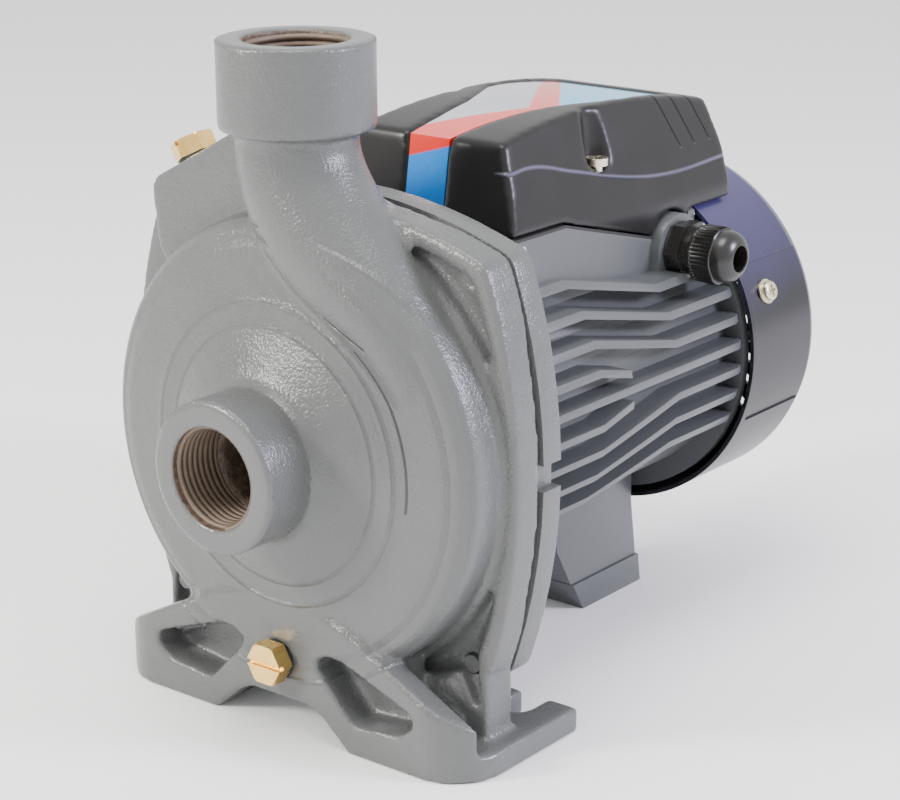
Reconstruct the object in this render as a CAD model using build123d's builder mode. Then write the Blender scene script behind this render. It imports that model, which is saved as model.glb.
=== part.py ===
"""Close-coupled centrifugal pump with a fan-cooled motor, in millimetres.

X runs to the right as seen from the suction port, Y from the suction port to the fan, Z up.
It is drawn with Y = 0 on the discharge axis, and each piece is written moved along Y so that the
origin lies on the base plane, below the middle of the whole pump.
"""

from build123d import *
import math
import os

os.makedirs("parts", exist_ok=True)

# Overall
shaft_height = 95
discharge_top = 226
suction_face = -43.5
joint_face = 19
bracket_rear = 28
housing_rear = 168
cover_rear = 214.5

# Ports, both G1 (major diameter 33.25 mm)
port_radius = 24.75
port_thread_radius = 16.6
port_thread_depth = 20
port_bore = 14
collar_height = 28

# Pump body
volute_radius = 76
chamber_radius = 66
chamber_front = -8
spigot_front = 17
flange_front = 5
flange_half = 81.3
flange_corner = 68.6
flange_corner_radius = 7.5
body_bolt_x = 61
body_bolt_z = 63.5
ear_floor = 10

# Foot of the pump body
foot_half = 77.5
foot_front = -15.5
foot_back = 44.5
foot_inner = 28.6
foot_pad = 8.5
foot_corner_radius = 20
slot_width = 10
slot_x = 60

# Rotor
shaft_radius = 7.5
impeller_shaft_radius = 6
impeller_radius = 60
rotor_front = 72
rotor_back = 124
rotor_radius = 24.7
stator_inner = 25
stator_radius = 45
bearing_outer = 17.5
bearing_width = 11
front_bearing = 34
rear_bearing = 158
shaft_end = 203

# Motor housing
barrel_radius = 52.5
fin_radius = 61.5
fin_pitch = 9.25
fin_thickness = 2.6
fin_centre = shaft_height + 6
fin_bend_start = 81
fin_bend_end = 125
fan_cover_radius = 64.3
fan_cover_wall = 1.6

# Terminal box
box_half = 39.5
box_front = 59.5
box_front_base = 156
box_rear_base = 142
gland_y = 151
gland_z = 136.3
gland_start = 42.5

middle_y = (suction_face + cover_rear) / 2

shaft_plane = Plane(origin=(0, 0, shaft_height), x_dir=(0, 1, 0), z_dir=(1, 0, 0))
shaft_axis = Axis((0, 0, shaft_height), (0, 1, 0))


def across(y, z=shaft_height):
    """A plane square to the shaft, looking back along -Y."""
    return Plane(origin=(0, y, z), x_dir=(1, 0, 0), z_dir=(0, -1, 0))


def turned(points, mode=Mode.ADD):
    """A solid of revolution about the shaft, from (y, radius) points."""
    with BuildSketch(shaft_plane) as section:
        with BuildLine():
            Polyline(*points, close=True)
        make_face()
    revolve(section.sketch, axis=shaft_axis, mode=mode)


def ring(y0, y1, outer, inner=0, mode=Mode.ADD):
    """A disc or ring about the shaft, from y0 to y1."""
    with BuildSketch(across(y1)) as section:
        Circle(outer)
        if inner:
            Circle(inner, mode=Mode.SUBTRACT)
    extrude(section.sketch, amount=y1 - y0, mode=mode)


def slab(outline, y0, y1, z=0, mode=Mode.ADD, round_by=0):
    """A plate square to the shaft, from y0 to y1, with an outline of (x, z) points."""
    with BuildSketch(across(y1, z)) as section:
        with BuildLine():
            Polyline(*outline, close=True)
        make_face()
        if round_by:
            fillet(section.vertices(), round_by)
    extrude(section.sketch, amount=y1 - y0, mode=mode)


def rod(x, z, y0, y1, radius, mode=Mode.ADD):
    """A cylinder along Y at (x, z)."""
    with BuildSketch(across(y1, 0)) as section:
        with Locations((x, z)):
            Circle(radius)
    extrude(section.sketch, amount=y1 - y0, mode=mode)


def flange_outline(inset=0):
    """The joint's outline, on the XY plane: a square with bowed sides and rounded corners."""
    half = flange_half - inset
    corner = flange_corner - inset
    corners = [(corner, -corner), (corner, corner), (-corner, corner), (-corner, -corner)]
    middles = [(half, 0), (0, half), (-half, 0), (0, -half)]
    with BuildSketch() as section:
        with BuildLine():
            for n in range(4):
                ThreePointArc(corners[n], middles[n], corners[(n + 1) % 4])
        make_face()
        fillet(section.vertices(), flange_corner_radius - inset * 0.4)
    return section.sketch_local


def export(part, name):
    """Writes a piece as its own node, in the frame whose origin is below the middle of the pump."""
    placed = part.moved(Location((0, -middle_y, 0)))
    placed.label = name
    export_step(placed, f"parts/{name}.step")


bolt_places = [(sx * body_bolt_x, shaft_height + sz * body_bolt_z) for sx in (-1, 1) for sz in (-1, 1)]

# ---------------------------------------------------------------- pump body

# The discharge neck: (x, z, outer radius, inner radius) down from the collar into the volute.
neck = [
    (0, 201, 19.5, 14),
    (0, 190, 19.5, 14),
    (4, 178, 20, 14),
    (12.5, 166, 20, 14),
    (24, 155, 19, 13.5),
    (37, 143, 17.5, 12.5),
    (48.5, 128, 15.5, 11),
    (55.5, 111, 13, 9),
]


def neck_tube(which):
    """The neck as a loft through circles that stand square to its centre line."""
    sections = []
    for n, step in enumerate(neck):
        before = neck[max(n - 1, 0)]
        after = neck[min(n + 1, len(neck) - 1)]
        along = (after[0] - before[0], 0, after[1] - before[1])
        with BuildSketch(Plane(origin=(step[0], 0, step[1]), x_dir=(0, 1, 0), z_dir=along)) as section:
            Circle(step[which])
        sections.append(section.sketch)
    return sections


web_outline = [(-10, 200), (-23, 198), (-27, 194), (-36.7, 188.8), (-63.5, 174.3), (-65.8, 171), (-63.5, 150)]
web_outline += [(-55, 140), (-10, 150)]
plug_slope = math.degrees(math.atan2(188.8 - 174.3, 63.5 - 36.7))
plug_seat = Plane(origin=(-52.49, 9.5, 180.28), x_dir=(0, 1, 0), z_dir=(-0.4759, 0, 0.8795))
drain_z = 25.5
plug_thread = 4.86
plug_bore = 4.4

pocket = [(15, 27.5), (20.5, 31.3), (28, 30.5), (54.8, 20.7), (56.2, 16.6), (50.6, 12.3), (31.1, 10.4)]
leg = [(44, 34), (52, foot_pad - 1), (70, foot_pad - 1), (70, 27), (66, 34)]

with BuildPart() as pump_body:
    # Volute disc and suction boss
    turned([
        (suction_face, 0), (suction_face, port_radius - 1), (suction_face + 1, port_radius),
        (-25, port_radius), (-23, 25.8), (-21.4, 28.3), (-16, 42.4), (-15.6, 45), (-15.4, 50), (-14.6, 50.6),
        (-12.6, 67.5), (-11.4, 71.5), (-9, 74.6), (-5.5, volute_radius), (joint_face, volute_radius),
        (joint_face, 0),
    ])
    # Joint flange with the relief round the middle of each side
    with BuildSketch(across(joint_face)):
        add(flange_outline())
    extrude(amount=joint_face - flange_front)
    # Discharge collar, neck and web
    with BuildSketch(Plane.XY.offset(discharge_top - collar_height)):
        Circle(port_radius)
    extrude(amount=collar_height)
    loft(neck_tube(2))
    slab(web_outline, 0, joint_face)
    # Foot: apron, pads and legs
    with BuildSketch(across(-6, 0)):
        with BuildLine():
            ridge = ThreePointArc((-34, 39.4), (0, 46.4), (34, 39.4))
            Polyline(ridge @ 1, (foot_half, 16.8), (foot_half, 0), (foot_inner, 0), (18, 9.5), (12, 12))
            Line((12, 12), (-12, 12))
            Polyline((-12, 12), (-18, 9.5), (-foot_inner, 0), (-foot_half, 0), (-foot_half, 16.8), ridge @ 0)
        make_face()
    extrude(amount=-6 - foot_front)
    slab([(-46, 30), (-44, 12), (44, 12), (46, 30), (30, 42), (-30, 42)], -6, joint_face)
    for side in (-1, 1):
        with BuildSketch():
            with BuildLine():
                Polyline(
                    (side * foot_inner, foot_front), (side * foot_half, foot_front), (side * foot_half, foot_back),
                    (side * 46, foot_back), (side * 43, 22), (side * foot_inner, 16), close=True,
                )
            make_face()
        extrude(amount=foot_pad)
        slab([(side * x, z) for x, z in leg], flange_front, joint_face)
        # Core block behind the apron that the pockets are sunk in
        slab([(side * 20, 32), (side * 62, 15), (side * 62, 4), (side * foot_inner, 4)], -6, 3)
    front_edges = pump_body.edges().filter_by(Axis.Z).filter_by(
        lambda e: abs(abs(e.center().X) - foot_half) < 0.01 and abs(e.center().Y - foot_front) < 0.01
    )
    fillet(front_edges, foot_corner_radius - 2)

    # Hollows
    for side in (-1, 1):
        with BuildSketch(across(-3.5, 0)) as sunk:
            with BuildLine():
                Polyline(*[(side * x, z) for x, z in pocket], close=True)
            make_face()
            fillet(sunk.vertices(), 2)
        extrude(amount=-3.5 - foot_front, mode=Mode.SUBTRACT)
        # Open slot in each pad, towards the motor
        with BuildSketch():
            with Locations((side * slot_x, 34)):
                Circle(slot_width / 2)
            with Locations((side * slot_x, 42)):
                Rectangle(slot_width, 16)
        extrude(amount=foot_pad + 1, mode=Mode.SUBTRACT)
    # Ear recesses, outside the volute and inside the flange's rim
    with BuildSketch(across(ear_floor)):
        add(flange_outline(inset=5.5))
        Circle(volute_radius + 2.5, mode=Mode.SUBTRACT)
    recess_parts = extrude(amount=ear_floor - flange_front, mode=Mode.PRIVATE)
    for solid in recess_parts.solids():
        if solid.center().X > 0:
            add(solid, mode=Mode.SUBTRACT)
    for side in (-1, 1):
        slab([(side * 56, 36), (side * 65.5, 36), (side * 67, 14)], flange_front, ear_floor, mode=Mode.SUBTRACT)
    # The neck's back is flat where it passes the bracket
    with Locations((20, joint_face + 5, 150)):
        Box(80, 10, 95, mode=Mode.SUBTRACT)
    # Wet chamber and passages
    ring(chamber_front, joint_face, chamber_radius, mode=Mode.SUBTRACT)
    ring(suction_face, chamber_front, port_bore, mode=Mode.SUBTRACT)
    ring(suction_face, suction_face + port_thread_depth, port_thread_radius, mode=Mode.SUBTRACT)
    ring(chamber_front - 4, chamber_front, 20.5, mode=Mode.SUBTRACT)
    loft(neck_tube(3), mode=Mode.SUBTRACT)
    with BuildSketch(Plane.XY.offset(discharge_top - port_thread_depth)):
        Circle(port_thread_radius)
    extrude(amount=port_thread_depth, mode=Mode.SUBTRACT)
    with BuildSketch(Plane.XY.offset(discharge_top - collar_height + 2.5)):
        Circle(port_bore + 0.5)
    extrude(amount=collar_height - 5, mode=Mode.SUBTRACT)
    with BuildSketch(plug_seat):
        Circle(plug_thread)
    extrude(amount=-12, mode=Mode.SUBTRACT)
    with BuildSketch(plug_seat):
        Circle(plug_bore - 0.6)
    extrude(amount=-42, mode=Mode.SUBTRACT)
    rod(0, drain_z, foot_front, -3, plug_thread, mode=Mode.SUBTRACT)
    rod(0, drain_z, -3, 3, plug_bore - 0.6, mode=Mode.SUBTRACT)
    with BuildSketch(Plane(origin=(0, 0, drain_z))):
        Circle(plug_bore - 1)
    extrude(amount=8, mode=Mode.SUBTRACT)
    # O-ring groove, relief round the joint and tapped holes
    ring(joint_face - 2.4, joint_face, chamber_radius + 3.6, chamber_radius, mode=Mode.SUBTRACT)
    for turn in range(4):
        with BuildSketch(across(joint_face)):
            with Locations(Location((0, 0), 90 * turn)):
                with Locations((79.5, 0)):
                    Rectangle(9, 100)
        extrude(amount=1.8, mode=Mode.SUBTRACT)
    for x, z in bolt_places:
        rod(x, z, ear_floor - 1 if x > 0 else 4, joint_face, 3, mode=Mode.SUBTRACT)
export(pump_body.part, "pump_body")
print("pump_body", pump_body.part.volume, len(pump_body.solids()), pump_body.part.is_valid)


def turned_piece(points, name):
    """One turned part about the shaft, written as its own node."""
    with BuildPart() as piece:
        turned(points)
    export(piece.part, name)
    return piece.part


# ---------------------------------------------------------------- plugs, made about their own axis

def make_plug(across_flats, head, thread):
    """A slotted hexagonal plug, its washer face on the XY plane and its thread below it."""
    with BuildPart() as plug:
        with BuildSketch():
            RegularPolygon(across_flats / 2, 6, major_radius=False)
        extrude(amount=head)
        with BuildSketch(Plane.XY.offset(head)):
            Circle(across_flats / 2 * 1.09)
        extrude(amount=-head, mode=Mode.INTERSECT, taper=-30)
        with BuildSketch(Plane.XY.offset(head)):
            Rectangle(across_flats * 1.3, 1.6)
        extrude(amount=-1.8, mode=Mode.SUBTRACT)
        with BuildSketch():
            Circle(plug_thread - 0.06)
        extrude(amount=-thread)
        chamfer(plug.edges().group_by(Axis.Z)[0], 0.8)
    return plug.part


def make_ring(outer, inner, height):
    """A flat ring on the XY plane."""
    with BuildPart() as flat:
        with BuildSketch():
            Circle(outer)
            Circle(inner, mode=Mode.SUBTRACT)
        extrude(amount=height)
    return flat.part


def make_hex_nut(across_flats, bore, height):
    with BuildPart() as nut:
        with BuildSketch():
            RegularPolygon(across_flats / 2, 6, major_radius=False)
            Circle(bore, mode=Mode.SUBTRACT)
        extrude(amount=height)
    return nut.part


washer_height = 1.2
plug_head = 6
drain_seat = Plane(origin=(0, foot_front, drain_z), x_dir=(1, 0, 0), z_dir=(0, -1, 0))
for seat, name in ((plug_seat, "priming_plug"), (drain_seat, "drain_plug")):
    washer_part = seat.location * make_ring(6.6, plug_thread, washer_height)
    export(washer_part, f"{name}_washer")
    plug_part = seat.offset(washer_height).location * make_plug(13, plug_head, 9.5)
    export(plug_part, name)


# ---------------------------------------------------------------- motor bracket

with BuildPart() as motor_bracket:
    with BuildSketch(across(bracket_rear)):
        add(flange_outline())
    extrude(amount=bracket_rear - joint_face)
    ring(spigot_front, joint_face, chamber_radius - 0.15)
    ring(bracket_rear, front_bearing + bearing_width + 2, bearing_outer + 5.5)
    ring(bracket_rear, bracket_rear + 4, barrel_radius - 6.5)
    # Seal seat, slinger chamber, bearing seat
    ring(spigot_front, 23.5, 13, mode=Mode.SUBTRACT)
    ring(23.5, 26, shaft_radius + 1, mode=Mode.SUBTRACT)
    ring(26, front_bearing - 2, 15, mode=Mode.SUBTRACT)
    ring(front_bearing - 2, front_bearing, 15, mode=Mode.SUBTRACT)
    ring(front_bearing, front_bearing + bearing_width + 2, bearing_outer, mode=Mode.SUBTRACT)
    # Drip slots that open the slinger chamber to the outside below, and the notches at the joint's sides
    with BuildSketch(Plane.XY.offset(5)):
        with Locations((0, 29)):
            Rectangle(9, 5)
    extrude(amount=shaft_height - 12, mode=Mode.SUBTRACT)
    for side in (-1, 1):
        with BuildSketch(across(bracket_rear, 0)):
            with Locations((side * 81, shaft_height)):
                Rectangle(7, 8.5)
        extrude(amount=bracket_rear - joint_face, mode=Mode.SUBTRACT)
    for x, z in bolt_places:
        rod(x, z, joint_face, bracket_rear, 3, mode=Mode.SUBTRACT)
    tie_places = [(sx * 44.5, shaft_height + sz * 21) for sx in (-1, 1) for sz in (-1, 1)]
    for x, z in tie_places:
        rod(x, z, bracket_rear - 6, bracket_rear + 4, 2.5, mode=Mode.SUBTRACT)
export(motor_bracket.part, "motor_bracket")
print("motor_bracket", motor_bracket.part.is_valid, len(motor_bracket.solids()))

# ---------------------------------------------------------------- body bolts and O-ring

with BuildPart() as body_bolts:
    for x, z in bolt_places:
        rod(x, z, ear_floor - 1 if x > 0 else 4, bracket_rear, 2.95)
        with BuildSketch(across(bracket_rear + 4, 0)):
            with Locations((x, z)):
                RegularPolygon(5, 6, major_radius=False)
        extrude(amount=4)
export(body_bolts.part, "body_bolts")

turned_piece([
    (joint_face - 2.4, chamber_radius + 0.1), (joint_face, chamber_radius + 0.1),
    (joint_face, chamber_radius + 2.9), (joint_face - 2.4, chamber_radius + 2.9),
], "body_o_ring")

# ---------------------------------------------------------------- impeller

with BuildPart() as impeller:
    ring(-4.5, -2.5, impeller_radius, 17.5)
    ring(-11, -4.5, 20, 17.5)
    ring(4, 6.5, impeller_radius)
    ring(-2.5, 4, 12)
    ring(6.5, 8.5, 11)
    for n in range(6):
        start = math.radians(60 * n)
        with BuildSketch(across(4)) as vane:
            with BuildLine():
                spiral = []
                for step in range(5):
                    radius = 11 + 12.1 * step
                    angle = start - math.radians(22 * step)
                    spiral.append((radius * math.cos(angle), radius * math.sin(angle)))
                Spline(*spiral)
            trace(line_width=2.4)
            Circle(impeller_radius, mode=Mode.INTERSECT)
        extrude(amount=6.5)
    ring(-11, 8.5, impeller_shaft_radius, mode=Mode.SUBTRACT)
    with BuildSketch(across(8.5)):
        with Locations((0, impeller_shaft_radius)):
            Rectangle(4, 3.6)
    extrude(amount=13, mode=Mode.SUBTRACT)
export(impeller.part, "impeller")
print("impeller", impeller.part.is_valid, len(impeller.solids()))

with BuildPart() as impeller_key:
    with BuildSketch(across(7.5)):
        with Locations((0, impeller_shaft_radius - 0.1)):
            Rectangle(4, 3.6)
    extrude(amount=9)
export(impeller_key.part, "impeller_key")

impeller_nut = across(-3.7).location * make_hex_nut(13, 4, 6.5)
export(impeller_nut, "impeller_nut")
impeller_washer = across(-2.5).location * make_ring(10, 4, 1.2)
export(impeller_washer, "impeller_washer")

# ---------------------------------------------------------------- shaft

with BuildPart() as shaft:
    turned([
        (-12.5, 0), (-12.5, 4), (-2.5, 4), (-2.5, impeller_shaft_radius), (8.5, impeller_shaft_radius),
        (8.5, shaft_radius), (front_bearing + bearing_width, shaft_radius), (front_bearing + bearing_width, 9),
        (rear_bearing, 9), (rear_bearing, shaft_radius), (rear_bearing + bearing_width + 8, shaft_radius),
        (rear_bearing + bearing_width + 8, 6), (shaft_end, 6), (shaft_end, 0),
    ])
    with BuildSketch(across(7.5)):
        with Locations((0, impeller_shaft_radius - 0.1)):
            Rectangle(4, 3.6)
    extrude(amount=9, mode=Mode.SUBTRACT)
export(shaft.part, "shaft")

# ---------------------------------------------------------------- mechanical seal, slinger

turned_piece([(8.5, 9.6), (10.5, 9.6), (10.5, 12.2), (8.5, 12.2)], "seal_retainer")
with BuildPart() as seal_spring:
    for n in range(3):
        ring(10.5 + n * 1, 11.5 + n * 1, 11.6 - n * 0.3, 9.8 - n * 0.3)
export(seal_spring.part, "seal_spring")
turned_piece([(8.5, shaft_radius), (14.5, shaft_radius), (14.5, 11.4), (13.5, 11.4), (13.5, 9), (8.5, 9)], "seal_bellows")
turned_piece([(14.5, shaft_radius + 0.6), (17, shaft_radius + 0.6), (17, 11), (14.5, 11)], "seal_rotary_ring")
turned_piece([(17, shaft_radius + 0.9), (21.5, shaft_radius + 0.9), (21.5, 11), (17, 11)], "seal_stationary_ring")
turned_piece([
    (17.5, 11), (21.5, 11), (21.5, shaft_radius + 1.2), (23.5, shaft_radius + 1.2), (23.5, 13), (17.5, 13),
], "seal_cup")
turned_piece([(27.5, shaft_radius), (30.5, shaft_radius), (29.6, 13), (28.4, 13)], "water_slinger")

# ---------------------------------------------------------------- ball bearings 15 x 35 x 11

ball_circle = (shaft_radius + bearing_outer) / 2
ball_radius = 2.9
ball_count = 8
for name, y0 in (("front", front_bearing), ("rear", rear_bearing)):
    middle = y0 + bearing_width / 2
    with BuildPart() as outer_ring:
        ring(y0, y0 + bearing_width, bearing_outer, ball_circle + 2)
        with BuildSketch(shaft_plane):
            with Locations((middle, ball_circle)):
                Circle(ball_radius + 0.12)
        revolve(axis=shaft_axis, mode=Mode.SUBTRACT)
    export(outer_ring.part, f"{name}_bearing_outer_ring")
    with BuildPart() as inner_ring:
        ring(y0, y0 + bearing_width, ball_circle - 2, shaft_radius)
        with BuildSketch(shaft_plane):
            with Locations((middle, ball_circle)):
                Circle(ball_radius + 0.12)
        revolve(axis=shaft_axis, mode=Mode.SUBTRACT)
    export(inner_ring.part, f"{name}_bearing_inner_ring")
    with BuildPart() as balls:
        for n in range(ball_count):
            angle = 2 * math.pi * n / ball_count
            with Locations((ball_circle * math.cos(angle), middle, shaft_height + ball_circle * math.sin(angle))):
                Sphere(ball_radius)
    export(balls.part, f"{name}_bearing_balls")
    with BuildPart() as cage:
        ring(middle - 3.8, middle + 3.8, ball_circle + 1.2, ball_circle - 1.2)
        for n in range(ball_count):
            angle = 2 * math.pi * n / ball_count
            outward = (math.cos(angle), 0, math.sin(angle))
            with BuildSketch(Plane(origin=(0, middle, shaft_height), x_dir=(0, 1, 0), z_dir=outward)):
                Circle(ball_radius + 0.1)
            extrude(amount=20, mode=Mode.SUBTRACT)
    export(cage.part, f"{name}_bearing_cage")

turned_piece([(169.2, 12), (170, 12), (170, 17), (169.2, 17)], "wave_washer")

# ---------------------------------------------------------------- motor housing

def side_view(x=0):
    """The plane seen from the right, with (y, z) points."""
    return Plane(origin=(x, 0, 0), x_dir=(0, 1, 0), z_dir=(1, 0, 0))


def side_slab(outline, x0, x1, mode=Mode.ADD):
    """A plate from x0 to x1 with an outline of (y, z) points."""
    with BuildSketch(side_view(x0)) as section:
        with BuildLine():
            Polyline(*outline, close=True)
        make_face()
    extrude(section.sketch, amount=x1 - x0, mode=mode)


def block(x0, x1, y0, y1, z0, z1, mode=Mode.ADD):
    """A box between two corners."""
    with Locations(((x0 + x1) / 2, (y0 + y1) / 2, (z0 + z1) / 2)):
        Box(x1 - x0, y1 - y0, z1 - z0, mode=mode)


def fin_line(level):
    """A fin's centre line in (y, z): outer fins step one pitch towards the middle, the next ones end short."""
    here = fin_centre + level * fin_pitch
    if level == 0:
        return [(bracket_rear, here), (housing_rear, here)]
    inward = -1 if level > 0 else 1
    if abs(level) == 1:
        return [(bracket_rear, here), (fin_bend_start - 1, here), (fin_bend_start + 16, here + 4 * inward)]
    there = here + inward * fin_pitch
    return [(bracket_rear, here), (fin_bend_start, here), (fin_bend_end, there), (housing_rear, there)]


with BuildPart() as fins:
    for level in range(-4, 5):
        line = fin_line(level)
        low = [(y, z - fin_thickness / 2) for y, z in line]
        high = [(y, z + fin_thickness / 2) for y, z in reversed(line)]
        side_slab(low + high, -fin_radius, fin_radius)
    turned([
        (bracket_rear, 0), (bracket_rear, fin_radius), (housing_rear - 5, fin_radius),
        (housing_rear - 1.5, fin_radius - 1.2), (housing_rear, fin_radius - 4), (housing_rear, 0),
    ], mode=Mode.INTERSECT)

# Heights inside the terminal box
gasket = 1
pillar_top = 147
capacitor_pad = 152
block_pad = 150
earth_x = 22
earth_y = 72.5

base_top = [(box_front + 0.5, box_front_base - gasket), (88, box_front_base - gasket)]
base_top += [(140, box_rear_base - gasket), (housing_rear - 2, box_rear_base - gasket)]
base_half = box_half - 0.5
box_inner = 35
box_inner_front = 64
box_inner_rear = 162
cover_screw_x = 33.5
cover_screw_y = 113

# Terminal-box cavity, above the barrel's wall, and its back wall arched to the fan cover's radius
with BuildPart() as box_cavity:
    block(-box_inner, box_inner, box_inner_front, box_inner_rear, 120, 160)
    ring(60, 166, barrel_radius + 1, mode=Mode.SUBTRACT)

with BuildPart() as box_back_wall:
    block(-base_half, base_half, box_inner_rear, housing_rear - 2, 135, 165)
    ring(160, 170, fan_cover_radius + 0.7, mode=Mode.INTERSECT)

with BuildPart() as motor_housing:
    ring(bracket_rear, housing_rear, barrel_radius)
    add(fins.part)
    side_slab([(box_front + 0.5, 125)] + base_top + [(housing_rear - 2, 125)], -base_half, base_half)
    side_slab(
        [(112, 50), (115, 26.5), (130, 0), (housing_rear - 1, 0), (162, 33.5), (162, 50)], -17, 17
    )
    side_slab([(123.5, 11), (130, 0), (housing_rear - 1, 0), (housing_rear - 2.6, 11)], -18.4, 18.4)
    add(box_cavity.part, mode=Mode.SUBTRACT)
    add(box_back_wall.part)
    # Pillars for the cover screws, and pads for the capacitor, the terminal block and the earth screw
    for side in (-1, 1):
        with BuildSketch(Plane.XY.offset(130)):
            with Locations((side * cover_screw_x, cover_screw_y)):
                Circle(5)
        extrude(amount=pillar_top - 130)
    block(-24, -4, 101, 113, 140, capacitor_pad)
    block(5, 24, 88, 126, 140, block_pad)
    block(earth_x - 6, earth_x + 6, earth_y - 5.5, earth_y + 5.5, 140, block_pad)
    # Gland boss
    with BuildSketch(side_view(30)):
        with Locations((gland_y, gland_z)):
            Circle(12.5)
        with Locations((gland_y, gland_z - 6.5)):
            Rectangle(25, 13)
    extrude(amount=gland_start - 30)
    block(26, 34, gland_y - 8, gland_y + 8, 130, 150, mode=Mode.SUBTRACT)
    with BuildSketch(side_view(28)):
        with Locations((gland_y, gland_z)):
            Circle(8)
    extrude(amount=20, mode=Mode.SUBTRACT)
    # Notch in the uppermost fin for the gland's hexagon
    with BuildSketch(side_view(gland_start)):
        with Locations((gland_y, gland_z)):
            RegularPolygon(10.3, 6, major_radius=False)
    extrude(amount=30, mode=Mode.SUBTRACT)
    # Bores for the stator and both spigots
    ring(bracket_rear, housing_rear, stator_radius, mode=Mode.SUBTRACT)
    ring(bracket_rear, bracket_rear + 4.5, 46.05, mode=Mode.SUBTRACT)
    ring(housing_rear - 4.5, housing_rear, 46.05, mode=Mode.SUBTRACT)
    # Tie-rod, cover-screw and earth-screw holes
    for x, z in tie_places:
        rod(x, z, bracket_rear, housing_rear, 2.75, mode=Mode.SUBTRACT)
    for side in (-1, 1):
        with BuildSketch(Plane.XY.offset(136)):
            with Locations((side * cover_screw_x, cover_screw_y)):
                Circle(2)
        extrude(amount=14, mode=Mode.SUBTRACT)
    with BuildSketch(Plane.XY.offset(143)):
        with Locations((earth_x, earth_y)):
            Circle(2)
    extrude(amount=8, mode=Mode.SUBTRACT)
    # Way for the winding leads
    with BuildSketch(Plane.XY.offset(135)):
        with Locations((-16, 82)):
            Circle(6)
    extrude(amount=20, mode=Mode.SUBTRACT)
export(motor_housing.part, "motor_housing")
print("motor_housing", motor_housing.part.is_valid, len(motor_housing.solids()))

# ---------------------------------------------------------------- motor inner parts

with BuildPart() as stator_core:
    ring(rotor_front - 2, rotor_back + 2, stator_radius, stator_inner)
    with BuildSketch(across(rotor_back + 2)):
        with PolarLocations((stator_inner + 7.5), 24):
            SlotOverall(9, 3.4)
    extrude(amount=rotor_back - rotor_front + 4, mode=Mode.SUBTRACT)
export(stator_core.part, "stator_core")

with BuildPart() as stator_windings:
    turned([(55, 31), (58, 28.5), (69.9, 27.5), (69.9, 40), (58, 42.5), (55, 40)])
    turned([(141, 31), (138, 28.5), (126.1, 27.5), (126.1, 40), (138, 42.5), (141, 40)])
export(stator_windings.part, "stator_windings")

turned_piece([(rotor_front, 9), (rotor_back, 9), (rotor_back, rotor_radius), (rotor_front, rotor_radius)], "rotor_core")
with BuildPart() as rotor_end_rings:
    ring(rotor_front - 7, rotor_front, 23, 14)
    ring(rotor_back, rotor_back + 7, 23, 14)
    for n in range(9):
        angle = math.radians(40 * n)
        for y1 in (rotor_front - 7, rotor_back + 12):
            with BuildSketch(across(y1)):
                with Locations(Location((19 * math.cos(angle), 19 * math.sin(angle)), 40 * n)):
                    Rectangle(6, 2)
            extrude(amount=5)
export(rotor_end_rings.part, "rotor_end_rings")

# ---------------------------------------------------------------- rear shield and tie rods

screw_angles = (20, 160, 270)
fan_screw_y = 182
with BuildPart() as rear_shield:
    turned([
        (rear_bearing - 2, bearing_outer), (rear_bearing - 2, 22), (housing_rear - 4, 24), (housing_rear - 4, 46),
        (housing_rear, 46), (housing_rear, 60), (172, 60), (172, 8.5), (170, 8.5), (170, bearing_outer),
    ])
    for angle in screw_angles:
        lug = Plane(origin=(0, 172, shaft_height), x_dir=(1, 0, 0), z_dir=(0, 1, 0))
        with BuildSketch(lug):
            with Locations(Location((58 * math.cos(math.radians(angle)), -58 * math.sin(math.radians(angle))), -angle)):
                Rectangle(7.6, 11)
        extrude(amount=15)
    for angle in screw_angles:
        outward = (math.cos(math.radians(angle)), 0, math.sin(math.radians(angle)))
        with BuildSketch(Plane(origin=(0, fan_screw_y, shaft_height), x_dir=(0, 1, 0), z_dir=outward)):
            Circle(2)
        extrude(amount=66, mode=Mode.SUBTRACT)
    for x, z in tie_places:
        rod(x, z, housing_rear, 172, 2.75, mode=Mode.SUBTRACT)
export(rear_shield.part, "rear_shield")
print("rear_shield", rear_shield.part.is_valid, len(rear_shield.solids()))

with BuildPart() as tie_rods:
    for x, z in tie_places:
        rod(x, z, bracket_rear - 5.5, 172, 2.45)
        with BuildSketch(across(176, 0)):
            with Locations((x, z)):
                RegularPolygon(4, 6, major_radius=False)
        extrude(amount=4)
export(tie_rods.part, "tie_rods")

# ---------------------------------------------------------------- fan, fan cover

with BuildPart() as cooling_fan:
    ring(178, 180, 48, 6)
    ring(180, 198, 12, 6)
    for n in range(8):
        angle = 45 * n
        with BuildSketch(across(197)):
            with Locations(Location((29 * math.cos(math.radians(angle)), 29 * math.sin(math.radians(angle))), angle)):
                Rectangle(38, 2)
        extrude(amount=17)
    ring(178, 198, 6, mode=Mode.SUBTRACT)
export(cooling_fan.part, "cooling_fan")
turned_piece([(198, 6), (200, 6), (200, 8.5), (198, 8.5)], "fan_clip")

panel_depth = 0.6
with BuildPart() as side_panels:
    ring(171.5, 209.5, fan_cover_radius + 1, fan_cover_radius - panel_depth)
    with BuildSketch(across(215)):
        for side in (-1, 1):
            with BuildLine():
                Polyline((0, 0), (side * 80, 48), (side * 80, -33), close=True)
            make_face()
    extrude(amount=50, mode=Mode.INTERSECT)

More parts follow.
